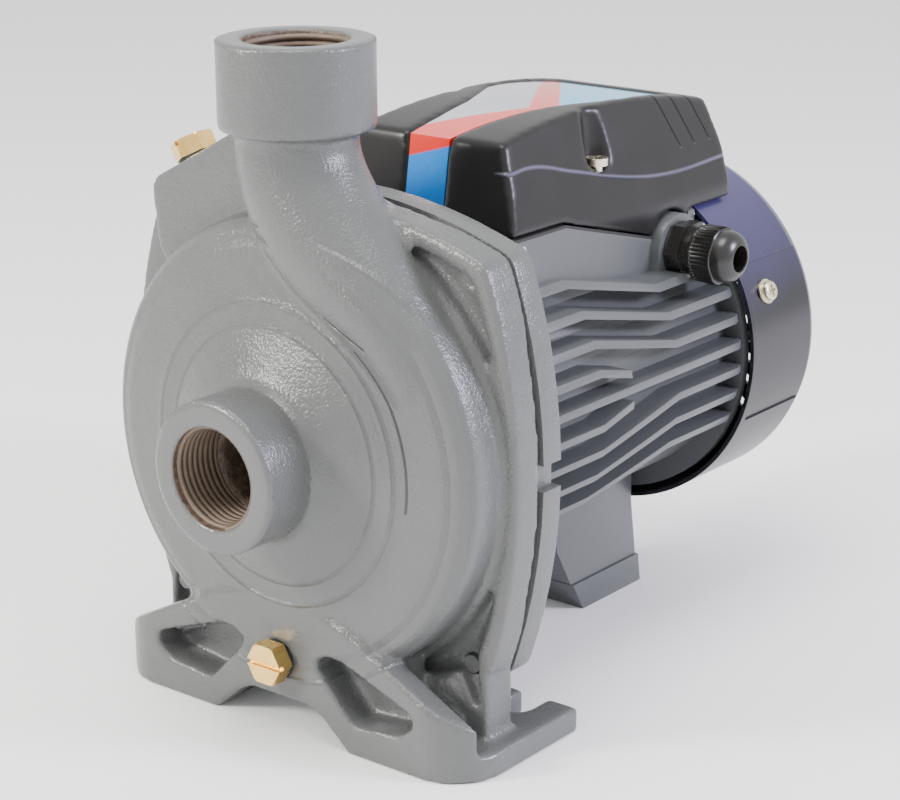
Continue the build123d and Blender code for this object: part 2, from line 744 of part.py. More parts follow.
cover_inner = fan_cover_radius - fan_cover_wall
with BuildPart() as fan_cover:
    turned([
        (housing_rear + 0.5, cover_inner), (housing_rear + 0.5, fan_cover_radius), (cover_rear - 7, fan_cover_radius),
        (cover_rear - 3, fan_cover_radius - 1.4), (cover_rear - 1, fan_cover_radius - 4),
        (cover_rear, fan_cover_radius - 7.5), (cover_rear, 0), (cover_rear - fan_cover_wall, 0),
        (cover_rear - fan_cover_wall, fan_cover_radius - 8.2), (cover_rear - 3, cover_inner - 3.2),
        (cover_rear - 7, cover_inner),
    ])
    with BuildSketch(across(cover_rear)):
        with PolarLocations(34, 32):
            SlotOverall(28, 3.2)
    extrude(amount=4, mode=Mode.SUBTRACT)
    # Shallow panels on both sides, and the slots under the screws
    add(side_panels.part, mode=Mode.SUBTRACT)
    for angle in screw_angles:
        outward = (math.cos(math.radians(angle)), 0, math.sin(math.radians(angle)))
        with BuildSketch(Plane(origin=(0, fan_screw_y, shaft_height), x_dir=(0, 1, 0), z_dir=outward)):
            with Locations((-1.5, 0)):
                SlotOverall(7.5, 4.4)
        extrude(amount=70, mode=Mode.SUBTRACT)
export(fan_cover.part, "fan_cover")
print("fan_cover", fan_cover.part.is_valid, len(fan_cover.solids()))

screw_solids = []
washer_solids = []
for angle in screw_angles:
    outward = (math.cos(math.radians(angle)), 0, math.sin(math.radians(angle)))
    wall = fan_cover_radius if angle == 270 else fan_cover_radius - panel_depth
    seat = Plane(origin=(0, fan_screw_y, shaft_height), x_dir=(0, 1, 0), z_dir=outward).offset(wall - 0.1)
    with BuildPart() as screw:
        with BuildSketch(Plane.XY.offset(1)):
            Circle(3.6)
        extrude(amount=2.4)
        fillet(screw.edges().group_by(Axis.Z)[-1], 1)
        with BuildSketch(Plane.XY.offset(-8)):
            Circle(1.95)
        extrude(amount=9)
        with BuildSketch(Plane.XY.offset(3.4)):
            Rectangle(4, 0.9)
            Rectangle(0.9, 4)
        extrude(amount=-1.4, mode=Mode.SUBTRACT)
    screw_solids.append(screw.part.moved(seat.location))
    washer_solids.append(make_ring(4.5, 2.15, 0.9).moved(seat.offset(0.1).location))
export(Compound(children=screw_solids), "fan_cover_screws")
export(Compound(children=washer_solids), "fan_cover_washers")

# ---------------------------------------------------------------- terminal box

cover_bottom = [(box_front, box_front_base), (88, box_front_base), (140, box_rear_base), (188, box_rear_base)]


strip_recess = 2.4


def cover_block(top_inset, side_inset):
    """The terminal cover's outside, shrunk by the insets."""
    t = top_inset
    front = (box_front + t, cover_bottom[0][1])
    shoulder = (box_front + 4.5 + t, 185.8 - t)
    with BuildPart() as shape:
        with BuildSketch(side_view(-box_half)):
            with BuildLine():
                Polyline(shoulder, front, *cover_bottom[1:], (190 - t, 150), (188.5 - t, 166), (183.5 - t, 184 - t))
                ThreePointArc((183.5 - t, 184 - t), (128, 190.6 - t), shoulder)
            make_face()
        extrude(amount=2 * box_half)
        half = box_half - side_inset
        with BuildSketch(across(200, 0)):
            with BuildLine():
                Polyline(
                    (-half, 130), (half, 130), (half, 153), (half - 3.3, 169), (half - 9, 187), (half - 11.5, 195),
                    (11.5 - half, 195), (9 - half, 187), (3.3 - half, 169), (-half, 153), close=True,
                )
            make_face()
        extrude(amount=160, mode=Mode.INTERSECT)
    return shape.part


def band_prism(gap):
    """The flared recess down the middle of the cover, seen from above."""
    edge = [(50, 8.5), (64, 8.5), (81, 10), (102, 13.7), (115, 18.6), (127, 24), (140, 25), (170 - gap, 23)]
    with BuildPart() as prism:
        with BuildSketch(Plane.XY.offset(150)):
            with BuildLine():
                Polyline(
                    *[(width - gap, y) for y, width in edge], *[(gap - width, y) for y, width in reversed(edge)],
                    close=True,
                )
            make_face()
        extrude(amount=60)
    return prism.part


with BuildPart() as cover_hollow:
    add(cover_block(4.6, 2.4))
    block(-60, 60, 163.5, 200, 100, 164, mode=Mode.SUBTRACT)
    block(-60, 60, 185, 220, 100, 220, mode=Mode.SUBTRACT)
    for side in (-1, 1):
        with BuildSketch(Plane.XY.offset(130)):
            with Locations((side * cover_screw_x, cover_screw_y)):
                Circle(8.5)
        extrude(amount=70, mode=Mode.SUBTRACT)

with BuildPart() as terminal_cover:
    add(cover_block(0, 0))
    add(band_prism(0) - cover_block(strip_recess, 0), mode=Mode.SUBTRACT)
    add(cover_hollow.part, mode=Mode.SUBTRACT)
    # Clearance over the fan cover, round the gland boss and at the screws
    with BuildSketch(across(200)):
        Circle(fan_cover_radius + 1)
    extrude(amount=200 - 162, mode=Mode.SUBTRACT)
    with BuildSketch(side_view(30)):
        with Locations((gland_y, gland_z)):
            Circle(12.8)
    extrude(amount=20, mode=Mode.SUBTRACT)
    for side in (-1, 1):
        with BuildSketch(Plane.XY.offset(171.5)):
            with Locations((side * cover_screw_x, cover_screw_y)):
                Circle(5.6)
            with Locations((side * (cover_screw_x + 6), cover_screw_y)):
                Rectangle(12, 11.2)
        extrude(amount=30, mode=Mode.SUBTRACT)
        with BuildSketch(Plane.XY.offset(140)):
            with Locations((side * cover_screw_x, cover_screw_y)):
                Circle(2.1)
        extrude(amount=40, mode=Mode.SUBTRACT)
print("terminal_cover", terminal_cover.part.is_valid, len(terminal_cover.solids()))
export(terminal_cover.part, "terminal_cover")

with BuildPart() as cover_trim_strip:
    add(band_prism(0.3))
    add(cover_block(0.8, 0), mode=Mode.INTERSECT)
    add(cover_block(strip_recess - 0.05, 0), mode=Mode.SUBTRACT)
export(cover_trim_strip.part, "cover_trim_strip")
print("trim", cover_trim_strip.part.is_valid, len(cover_trim_strip.solids()))

with BuildPart() as terminal_gasket:
    rim = [(y, z + gasket) for y, z in reversed(base_top)]
    side_slab(base_top + rim, -base_half, base_half)
    block(-box_inner, box_inner, box_inner_front, box_inner_rear, 120, 180, mode=Mode.SUBTRACT)
    block(-50, 50, box_inner_rear, 170, 120, 180, mode=Mode.SUBTRACT)
    with BuildSketch(side_view(30)):
        with Locations((gland_y, gland_z)):
            Circle(12.8)
    extrude(amount=20, mode=Mode.SUBTRACT)
    for side in (-1, 1):
        with BuildSketch(Plane.XY.offset(130)):
            with Locations((side * cover_screw_x, cover_screw_y)):
                Circle(2.2)
        extrude(amount=40, mode=Mode.SUBTRACT)
export(terminal_gasket.part, "terminal_gasket")
print("gasket", terminal_gasket.part.is_valid, len(terminal_gasket.solids()))

with BuildPart() as cover_screws:
    for side in (-1, 1):
        with BuildSketch(Plane.XY.offset(171.5)):
            with Locations((side * cover_screw_x, cover_screw_y)):
                Circle(3.8)
        extrude(amount=2.6)
        with BuildSketch(Plane.XY.offset(138)):
            with Locations((side * cover_screw_x, cover_screw_y)):
                Circle(1.95)
        extrude(amount=33.5)
        with BuildSketch(Plane.XY.offset(174.1)):
            with Locations((side * cover_screw_x, cover_screw_y)):
                Rectangle(4.4, 0.9)
                Rectangle(0.9, 4.4)
        extrude(amount=-1.5, mode=Mode.SUBTRACT)
export(cover_screws.part, "terminal_cover_screws")

stud_places = [(9.5 + 9.5 * column, 95 + 12 * row) for column in range(2) for row in range(3)]
with BuildPart() as terminal_block:
    block(5, 23.5, 89, 125, block_pad, 158)
    for y in (89, 100.2, 112.2, 123.8):
        block(5, 23.5, y, y + 1.2, 158, 162)
    for x, y in stud_places:
        with BuildSketch(Plane.XY.offset(158)):
            with Locations((x, y)):
                Circle(1.8)
        extrude(amount=-5, mode=Mode.SUBTRACT)
export(terminal_block.part, "terminal_block")

with BuildPart() as terminal_studs:
    for x, y in stud_places:
        with BuildSketch(Plane.XY.offset(153)):
            with Locations((x, y)):
                Circle(1.75)
        extrude(amount=10)
        with BuildSketch(Plane.XY.offset(158)):
            with Locations((x, y)):
                RegularPolygon(3.2, 6, major_radius=False)
        extrude(amount=2.6)
export(terminal_studs.part, "terminal_studs")

capacitor_radius = 10
capacitor_x = -13.5
capacitor_z = 166
with BuildPart() as run_capacitor:
    rod(capacitor_x, capacitor_z, 76, 136, capacitor_radius)
    rod(capacitor_x, capacitor_z, 74, 76, capacitor_radius - 1.2)
    rod(capacitor_x, capacitor_z, 136, 138, capacitor_radius - 1.5)
    for dx in (-4, 4):
        rod(capacitor_x + dx, capacitor_z, 69.5, 74, 1)
export(run_capacitor.part, "run_capacitor")

with BuildPart() as capacitor_clamp:
    rod(capacitor_x, capacitor_z, 102, 112, capacitor_radius + 1)
    block(capacitor_x - 6, capacitor_x + 6, 102, 112, capacitor_pad, capacitor_z - capacitor_radius + 2)
    rod(capacitor_x, capacitor_z, 102, 112, capacitor_radius + 0.02, mode=Mode.SUBTRACT)
export(capacitor_clamp.part, "capacitor_clamp")

with BuildPart() as earth_screw:
    with BuildSketch(Plane.XY.offset(block_pad)):
        with Locations((earth_x, earth_y)):
            Circle(3.8)
    extrude(amount=2.4)
    with BuildSketch(Plane.XY.offset(144)):
        with Locations((earth_x, earth_y)):
            Circle(1.95)
    extrude(amount=6)
    with BuildSketch(Plane.XY.offset(152.4)):
        with Locations((earth_x, earth_y)):
            Rectangle(8, 1)
    extrude(amount=-1.2, mode=Mode.SUBTRACT)
export(earth_screw.part, "earth_screw")

# ---------------------------------------------------------------- cable gland, made about its own axis

gland_seat = Plane(origin=(gland_start, gland_y, gland_z), x_dir=(0, 1, 0), z_dir=(1, 0, 0))
export(gland_seat.location * make_ring(9.8, 8, 1), "gland_gasket")

with BuildPart() as gland_body:
    with BuildSketch(Plane.XY.offset(1)):
        RegularPolygon(9.5, 6, major_radius=False)
    extrude(amount=4.9)
    with BuildSketch(Plane.XY.offset(-8)):
        Circle(7.9)
    extrude(amount=9)
    with BuildSketch(Plane.XY.offset(5.9)):
        Circle(8.4)
    extrude(amount=10)
    with BuildSketch(Plane.XY.offset(-8)):
        Circle(5)
    extrude(amount=15, mode=Mode.SUBTRACT)
    with BuildSketch(Plane.XY.offset(7)):
        Circle(6.6)
    extrude(amount=9, mode=Mode.SUBTRACT)
export(gland_seat.location * gland_body.part, "gland_body")

with BuildPart() as gland_seal:
    with BuildSketch(Plane.XY.offset(9)):
        Circle(6.4)
        Circle(4, mode=Mode.SUBTRACT)
    extrude(amount=9)
export(gland_seat.location * gland_seal.part, "gland_seal")

with BuildPart() as gland_dome_nut:
    with BuildSketch(Plane.XY.offset(9.4)):
        RegularPolygon(9.6, 6, major_radius=False)
        Circle(10.4, mode=Mode.INTERSECT)
    extrude(amount=9.6)
    with BuildSketch(Plane.XZ) as dome:
        with BuildLine():
            Polyline((0, 19), (9.3, 19), (9.1, 21))
            ThreePointArc((9.1, 21), (7.8, 24), (5.2, 25.6))
            Polyline((5.2, 25.6), (0, 25.6), (0, 19))
        make_face()
    revolve(axis=Axis.Z)
    with BuildSketch(Plane.XY.offset(9.4)):
        Circle(8.5)
    extrude(amount=8, mode=Mode.SUBTRACT)
    with BuildSketch(Plane.XY.offset(17)):
        Circle(6.9)
    extrude(amount=2, mode=Mode.SUBTRACT)
    with BuildSketch(Plane.XY.offset(18)):
        Circle(4.6)
    extrude(amount=10, mode=Mode.SUBTRACT)
export(gland_seat.location * gland_dome_nut.part, "gland_dome_nut")
print("gland", gland_dome_nut.part.is_valid)
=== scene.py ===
import math
import time

import bmesh
import bpy
import numpy
from mathutils import Matrix, Vector


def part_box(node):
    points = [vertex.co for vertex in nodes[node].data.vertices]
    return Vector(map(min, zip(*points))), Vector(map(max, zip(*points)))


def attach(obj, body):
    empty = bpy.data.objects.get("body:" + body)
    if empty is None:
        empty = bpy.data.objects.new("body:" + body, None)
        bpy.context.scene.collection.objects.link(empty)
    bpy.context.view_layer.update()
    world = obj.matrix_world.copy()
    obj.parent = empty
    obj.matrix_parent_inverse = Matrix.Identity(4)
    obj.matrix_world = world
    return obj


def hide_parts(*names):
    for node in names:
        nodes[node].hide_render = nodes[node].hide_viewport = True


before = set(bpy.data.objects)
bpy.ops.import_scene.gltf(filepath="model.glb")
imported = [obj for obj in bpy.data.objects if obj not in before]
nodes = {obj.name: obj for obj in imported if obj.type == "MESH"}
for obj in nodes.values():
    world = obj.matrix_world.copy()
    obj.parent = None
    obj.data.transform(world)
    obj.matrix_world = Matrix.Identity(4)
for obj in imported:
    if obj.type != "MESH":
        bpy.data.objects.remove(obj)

startTime = time.time()
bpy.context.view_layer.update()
scene = bpy.context.scene
mm = 0.001


def say(stage):
    print(f"[{time.time() - startTime:6.1f} s] {stage}")


# where things stand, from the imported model
suctionLow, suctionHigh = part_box("pump_body")
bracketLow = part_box("motor_bracket")[0]
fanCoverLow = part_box("fan_cover")[0]
coverLow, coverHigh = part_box("terminal_cover")
shaftLow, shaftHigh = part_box("shaft")
nutLow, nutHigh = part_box("gland_dome_nut")
shaftZ = (shaftLow.z + shaftHigh.z) / 2
dischargeY = suctionLow.y + 43.5 * mm
jointY = bracketLow.y + 2 * mm
glandY = (nutLow.y + nutHigh.y) / 2
glandZ = (nutLow.z + nutHigh.z) / 2

# ---- materials


class Wire:
    # one output of a shader node; sums written on it become Math nodes
    def __init__(self, tree, socket):
        self.tree = tree
        self.socket = socket

    def math(self, operation, first, second=None):
        node = self.tree.nodes.new("ShaderNodeMath")
        node.operation = operation
        for slot, value in zip(node.inputs, (first, second)):
            if value is not None:
                plug(self.tree, value, slot)
        return Wire(self.tree, node.outputs[0])

    def __add__(self, other):
        return self.math("ADD", self, other)

    def __radd__(self, other):
        return self.math("ADD", other, self)

    def __sub__(self, other):
        return self.math("SUBTRACT", self, other)

    def __rsub__(self, other):
        return self.math("SUBTRACT", other, self)

    def __mul__(self, other):
        return self.math("MULTIPLY", self, other)

    def __rmul__(self, other):
        return self.math("MULTIPLY", other, self)

    def __truediv__(self, other):
        return self.math("DIVIDE", self, other)

    def __rtruediv__(self, other):
        return self.math("DIVIDE", other, self)

    def __pow__(self, other):
        return self.math("POWER", self, other)

    def __abs__(self):
        return self.math("ABSOLUTE", self)

    def __gt__(self, other):
        return self.math("GREATER_THAN", self, other)

    def __lt__(self, other):
        return self.math("LESS_THAN", self, other)

    def most(self, other):
        return self.math("MAXIMUM", self, other)

    def held(self):
        return self.math("MINIMUM", self.math("MAXIMUM", self, 0.0), 1.0)

    def ramp(self, low, high):
        return ((self - low) / (high - low)).held()


def plug(tree, value, slot):
    if isinstance(value, Wire):
        tree.links.new(value.socket, slot)
    elif isinstance(value, (tuple, list)) and slot.type == "RGBA" and len(value) == 3:
        slot.default_value = (*value, 1.0)
    else:
        slot.default_value = value


class Finish:
    # a material with one Principled shader, and the nodes that feed it
    def __init__(self, name, **constants):
        self.material = bpy.data.materials.new(name)
        self.material.use_nodes = True
        self.tree = self.material.node_tree
        self.shader = self.tree.nodes["Principled BSDF"]
        for socketName, value in constants.items():
            self.set(socketName, value)

    def set(self, socketName, value):
        plug(self.tree, value, self.shader.inputs[socketName.replace("_", " ")])

    def node(self, kind, settings=None, values=None, output=0):
        node = self.tree.nodes.new(kind)
        for key, value in (settings or {}).items():
            if key == "stops":
                setStops(node.color_ramp, value)
            else:
                setattr(node, key, value)
        for key, value in (values or {}).items():
            plug(self.tree, value, node.inputs[key])
        return Wire(self.tree, node.outputs[output])

    def place(self):
        return self.node("ShaderNodeTexCoord", output="Object")

    def axes(self, place=None):
        split = self.tree.nodes.new("ShaderNodeSeparateXYZ")
        plug(self.tree, place or self.place(), split.inputs[0])
        return [Wire(self.tree, split.outputs[n]) for n in range(3)]

    def moved(self, place, scale=(1, 1, 1), location=(0, 0, 0), rotation=(0, 0, 0)):
        values = {"Vector": place, "Scale": scale, "Location": location, "Rotation": rotation}
        return self.node("ShaderNodeMapping", values=values)

    def noise(self, place, scale, detail=2.0, roughness=0.5, distortion=0.0):
        values = {
            "Vector": place, "Scale": scale, "Detail": detail, "Roughness": roughness,
            "Distortion": distortion,
        }
        return self.node("ShaderNodeTexNoise", values=values)

    def cells(self, place, scale, feature="F1"):
        return self.node("ShaderNodeTexVoronoi", {"feature": feature}, {"Vector": place, "Scale": scale})

    def blend(self, amount, first, second):
        values = {0: amount, 6: first, 7: second}
        return self.node("ShaderNodeMix", {"data_type": "RGBA"}, values, output=2)

    def bump(self, height, distance, strength=1.0, under=None):
        values = {"Height": height, "Distance": distance, "Strength": strength}
        if under is not None:
            values["Normal"] = under
        return self.node("ShaderNodeBump", values=values)

    def soften(self, radius):
        return self.node("ShaderNodeBevel", {"samples": 6}, {"Radius": radius})


def setStops(ramp, stops):
    while len(ramp.elements) > 1:
        ramp.elements.remove(ramp.elements[-1])
    ramp.elements[0].position, ramp.elements[0].color = stops[0][0], (*stops[0][1], 1)
    for position, color in stops[1:]:
        ramp.elements.new(position).color = (*color, 1)


def line(distance, width):
    # 1 on a line, falling to 0 at the given distance from it
    return (1 - abs(distance) / width).held()


def apart(a, b):
    # distance from the line that runs along the third axis, from the offsets on the other two
    return (a * a + b * b) ** 0.5


paintSettings = {
    "castColor": (0.1, 0.103, 0.101),
    "housingColor": (0.08, 0.085, 0.088),
    "peelSize": 1.0 * mm,
    "peelDepth": 0.34 * mm,
    # radius of each turned line on the pump's face, its half width and its height
    "rings": ((75.5, 1.0, 0.5), (69.5, 2.6, -0.7), (49.6, 0.9, 0.5), (42.4, 0.8, 0.45)),
    # how far the face stands before the discharge axis; the creases' half width and depth
    "faceFrom": -18.5, "faceTo": -6, "creaseWidth": 0.6, "creaseDepth": 0.6, "creaseRadius": 54,
}


def faceLines(finish, x, y, z, rings):
    # the turned rings and casting creases on the pump's face: height in millimetres, and where it is creased
    faceDepth = (y - dischargeY) / mm
    onFace = (faceDepth > paintSettings["faceFrom"]) * (faceDepth < paintSettings["faceTo"])
    across = x / mm
    up = (z - shaftZ) / mm
    reach = apart(across, up)
    height = 0.0
    for radius, width, rise in rings:
        height = line(reach - radius, width) * rise + height
    width = paintSettings["creaseWidth"]
    short = line((across - 24) * 0.4245 + (up - 49.5) * 0.9054, width) * (across > 24) * (across < 40)
    curved = line(reach - paintSettings["creaseRadius"], width) * (across > 30) * (up > -8) * (up < 41)
    crease = short.most(curved) * onFace
    return (height - crease * paintSettings["creaseDepth"]) * onFace, crease


def castPaint(name, color, peelSize, peelDepth, rough, rings=()):
    # sprayed enamel on a sand casting: orange peel, a few pits, faint mottling, bare rust in the ports,
    # painted shade in the casting creases
    finish = Finish(name, Specular_IOR_Level=0.55)
    place = finish.place()
    x, y, z = finish.axes(place)
    patches = finish.noise(place, 38, 3)
    grime = finish.noise(place, 140, 4, 0.6)
    shade = 0.93 + patches * 0.09 + grime * 0.05
    dark = tuple(v * 0.82 for v in color)
    light = tuple(min(1, v * 1.12) for v in color)
    paint = finish.blend((shade - 0.9) * 5, dark, light)
    suctionGap = apart(x, z - shaftZ)
    dischargeGap = apart(x, y - dischargeY)
    inSuction = (suctionGap < 16.75 * mm) * (y < dischargeY - 9 * mm)
    inDischarge = (dischargeGap < 16.75 * mm) * (z > shaftZ + 95 * mm)
    bare = inSuction.most(inDischarge)
    rust = finish.node(
        "ShaderNodeValToRGB",
        {"stops": [(0.3, (0.03, 0.022, 0.018)), (0.55, (0.1, 0.066, 0.045)), (0.8, (0.2, 0.15, 0.11))]},
        {"Fac": finish.noise(place, 420, 5, 0.65)},
    )
    lines, crease = faceLines(finish, x, y, z, rings)
    # painted shade: the casting creases darkened to under half the paint colour
    paint = finish.blend(crease, paint, tuple(v * 0.45 for v in color))
    finish.set("Base Color", finish.blend(bare, paint, rust))
    finish.set("Roughness", rough + patches * 0.1 + bare * 0.25)
    peel = finish.noise(place, 1 / peelSize, 2.5, 0.55)
    pits = finish.cells(place, 0.42 / peelSize).ramp(0.0, 0.16)
    swell = finish.noise(place, 120, 2)
    faceOfPort = (y < suctionLow.y + 0.4 * mm).most(z > suctionHigh.z - 0.4 * mm)
    height = (peel + pits * 0.22 + swell * 1.3) * (1 - faceOfPort * 0.7)
    turned = finish.bump(lines, mm, 0.9)
    finish.set("Normal", finish.bump(height, peelDepth, 0.85, turned))
    return finish.material


def mouldedPlastic(name, color, rough, grain, depth, soft=0.3 * mm):
    finish = Finish(name, Specular_IOR_Level=0.5)
    place = finish.place()
    dust = finish.noise(place, 60, 4, 0.6)
    finish.set("Base Color", finish.blend(dust, tuple(v * 0.8 for v in color), tuple(v * 1.3 for v in color)))
    finish.set("Roughness", rough + dust * 0.1)
    texture = finish.cells(place, 1 / grain) + finish.noise(place, 2 / grain, 2)
    finish.set("Normal", finish.bump(texture, depth, 0.6, finish.soften(soft)))
    return finish.material


coverLines = {
    # the raised line along each side as height over depth, then three slanted grooves near the rear
    "wave": ((50, 178), (59, 176.5), (77, 176.8), (97, 172.2), (129, 165), (154, 162.5), (188, 163.3)),
    "waveWidth": 0.85, "waveRise": 0.7, "waveFrom": 28, "span": 200,
    "grooves": (152.7, 161.6, 171.2), "grooveLean": 0.474, "grooveTop": 187.5, "grooveFoot": 169.5,
    "grooveWidth": 0.75, "grooveDepth": 1.1, "grooveFrom": 24,
}


def coverPlastic(settings):
    finish = Finish("blackCoverPlastic", Specular_IOR_Level=0.3)
    place = finish.place()
    x, y, z = finish.axes(place)
    depth = (y - dischargeY) / mm
    up = z / mm
    side = abs(x / mm)
    curve = finish.tree.nodes.new("ShaderNodeFloatCurve")
    spots = [(a / settings["span"], b / settings["span"]) for a, b in settings["wave"]]
    spots = [(0.0, spots[0][1]), *spots, (1.0, spots[-1][1])]
    track = curve.mapping.curves[0].points
    track[0].location, track[1].location = spots[0], spots[-1]
    for spot in spots[1:-1]:
        track.new(*spot)
    curve.mapping.update()
    plug(finish.tree, depth / settings["span"], curve.inputs["Value"])
    wave = Wire(finish.tree, curve.outputs[0]) * settings["span"]
    bead = line(up - wave, settings["waveWidth"]) * side.ramp(settings["waveFrom"], settings["waveFrom"] + 4)
    lean = (settings["grooveTop"] - up).most(0.0) * settings["grooveLean"]
    groove = 0.0
    for start in settings["grooves"]:
        groove = line(depth - lean - start, settings["grooveWidth"]).most(groove)
    foot = settings["grooveFoot"]
    groove = groove * up.ramp(foot, foot + 2) * side.ramp(settings["grooveFrom"], settings["grooveFrom"] + 2)
    dust = finish.noise(place, 60, 4, 0.6)
    color = finish.blend(dust, (0.010, 0.010, 0.010), (0.017, 0.016, 0.017))
    # painted highlight: the raised line's colour lightened to a pale violet
    color = finish.blend(bead * 0.7, color, (0.16, 0.15, 0.24))
    # painted shade: the grooves darkened to near black
    color = finish.blend(groove, color, (0.001, 0.001, 0.001))
    finish.set("Base Color", color)
    finish.set("Roughness", 0.27 + dust * 0.1 + groove * 0.4)
    lines = finish.bump(bead * settings["waveRise"] - groove * settings["grooveDepth"], mm, 0.9)
    texture = finish.cells(place, 2400) + finish.noise(place, 4800, 2)
    finish.set("Normal", finish.bump(texture, 0.02 * mm, 0.5, lines))
    return finish.material


def fanCoverPaint():
    # black gloss with a painted violet reflection in its colour towards the top, fading towards the rear
    finish = Finish("blackGlossEnamel", Specular_IOR_Level=0.5)
    place = finish.place()
    x, y, z = finish.axes(place)
    cloud = finish.noise(place, 25, 2)
    # painted reflection: the base colour turns violet with height, less towards the rear
    paintedReflection = (z / mm + cloud * 14).ramp(118, 205) * (1 - (y - fanCoverLow.y).ramp(8 * mm, 75 * mm) * 0.35)
    finish.set("Base Color", finish.blend(paintedReflection, (0.006, 0.006, 0.009), (0.085, 0.07, 0.24)))
    finish.set("Roughness", 0.2 + cloud * 0.12)
    finish.set("Normal", finish.bump(finish.noise(place, 900, 2), 0.012 * mm, 0.6, finish.soften(0.3 * mm)))
    return finish.material


def metal(name, color, rough, scratch=900, depth=0.01 * mm, along=(1, 1, 1), soft=0.2 * mm):
    finish = Finish(name, Metallic=1.0)
    place = finish.place()
    streak = finish.noise(finish.moved(place, along), scratch, 4, 0.6)
    tone = finish.noise(place, 90, 3)
    finish.set("Base Color", finish.blend(tone, tuple(v * 0.85 for v in color), color))
    finish.set("Roughness", rough + streak * 0.14)
    finish.set("Normal", finish.bump(streak, depth, 0.7, finish.soften(soft)))
    return finish.material


def turnedBrass(name, centre, axis):
    # lathe rings round the plug's own axis, with a little tarnish
    finish = Finish(name, Metallic=1.0)
    place = finish.place()
    turn = axis.to_track_quat("Z", "Y").inverted().to_euler()
    moved = finish.moved(place, location=-centre)
    local = finish.moved(moved, rotation=tuple(turn))
    x, y, z = finish.axes(local)
    rings = finish.node(
        "ShaderNodeTexNoise", {"noise_dimensions": "1D"}, {"W": apart(x, y), "Scale": 2600, "Detail": 2.0}
    )
    tarnish = finish.noise(place, 260, 4, 0.6)
    finish.set("Base Color", finish.blend(tarnish, (0.72, 0.42, 0.1), (0.93, 0.68, 0.27)))
    finish.set("Roughness", 0.2 + tarnish * 0.16)
    finish.set("Normal", finish.bump(rings, 0.05 * mm, 0.6, finish.soften(0.25 * mm)))
    return finish.material


def plain(name, color, rough, metallic=0.0, grain=400, depth=0.03 * mm, **more):
    finish = Finish(name, Metallic=metallic, **more)
    place = finish.place()
    tone = finish.noise(place, grain, 3, 0.6)
    finish.set("Base Color", finish.blend(tone, tuple(v * 0.75 for v in color), color))
    finish.set("Roughness", rough + tone * 0.12)
    finish.set("Normal", finish.bump(tone, depth, 0.5))
    return finish.material


bodyPaint = castPaint(
    "sprayedCastIron", paintSettings["castColor"], paintSettings["peelSize"], paintSettings["peelDepth"], 0.2,
    paintSettings["rings"],
)
housingPaint = castPaint("sprayedDieCasting", paintSettings["housingColor"], 0.9 * mm, 0.06 * mm, 0.3)
blackPlastic = mouldedPlastic("blackMouldedPlastic", (0.012, 0.012, 0.012), 0.3, 0.42 * mm, 0.02 * mm)
glandPlastic = mouldedPlastic("blackGlandNylon", (0.012, 0.011, 0.01), 0.22, 0.6 * mm, 0.006 * mm, 0.12 * mm)
fanPlastic = mouldedPlastic("darkFanPlastic", (0.05, 0.05, 0.055), 0.45, 0.5 * mm, 0.02 * mm)
coverShell = coverPlastic(coverLines)
coverPaint = fanCoverPaint()
zinc = metal("yellowZincSteel", (0.78, 0.72, 0.55), 0.24)
steel = metal("groundSteel", (0.6, 0.6, 0.61), 0.26, along=(1, 12, 1))
bearingSteel = metal("polishedBearingSteel", (0.68, 0.68, 0.69), 0.12, depth=0.003 * mm)
aluminium = metal("castAluminium", (0.62, 0.63, 0.64), 0.42, 300, 0.04 * mm)
castBrass = metal("castBrassAlloy", (0.76, 0.52, 0.22), 0.34, 300, 0.04 * mm)
laminations = metal("electricalSteelSheets", (0.3, 0.3, 0.31), 0.4, 1100, 0.05 * mm, along=(0.02, 1, 0.02))
copper = plain("varnishedCopperWire", (0.66, 0.25, 0.09), 0.28, 1.0, 1500, 0.2 * mm)
rubber = plain("blackRubber", (0.018, 0.018, 0.018), 0.62)
ceramic = plain("sealCeramic", (0.8, 0.77, 0.7), 0.12, 0.0, 200, 0.005 * mm)
carbon = plain("sealCarbon", (0.03, 0.03, 0.032), 0.3, 0.0, 300, 0.005 * mm)
capacitorCase = plain("capacitorShell", (0.72, 0.72, 0.7), 0.3, 0.0, 100, 0.005 * mm)
say("materials")

# ---- shapes


def meshPiece(name, mesh, body, material, replaced=()):
    piece = bpy.data.objects.new(name, mesh)
    scene.collection.objects.link(piece)
    mesh.materials.clear()
    mesh.materials.append(material)
    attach(piece, body)
    if replaced:
        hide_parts(*replaced)
    return piece


def settled(piece):
    # the piece's mesh with its modifiers applied, as a plain mesh; the helper object goes
    bpy.context.view_layer.update()
    evaluated = piece.evaluated_get(bpy.context.evaluated_depsgraph_get())
    mesh = bpy.data.meshes.new_from_object(evaluated)
    piece.modifiers.clear()
    bpy.data.objects.remove(piece)
    return mesh


def mergedCopy(node):
    # a CAD node's loose triangles, joined into one surface
    work = bmesh.new()
    work.from_mesh(nodes[node].data)
    bmesh.ops.remove_doubles(work, verts=work.verts, dist=0.004 * mm)
    mesh = bpy.data.meshes.new("merged")
    work.to_mesh(mesh)
    work.free()
    return mesh


def remeshed(node, voxel):
    piece = bpy.data.objects.new("voxels", mergedCopy(node))
    scene.collection.objects.link(piece)
    remesh = piece.modifiers.new("voxels", "REMESH")
    remesh.mode = "VOXEL"
    remesh.voxel_size = voxel
    return settled(piece)


def points(mesh):
    flat = numpy.empty(len(mesh.vertices) * 3)
    mesh.vertices.foreach_get("co", flat)
    return flat.reshape(-1, 3)


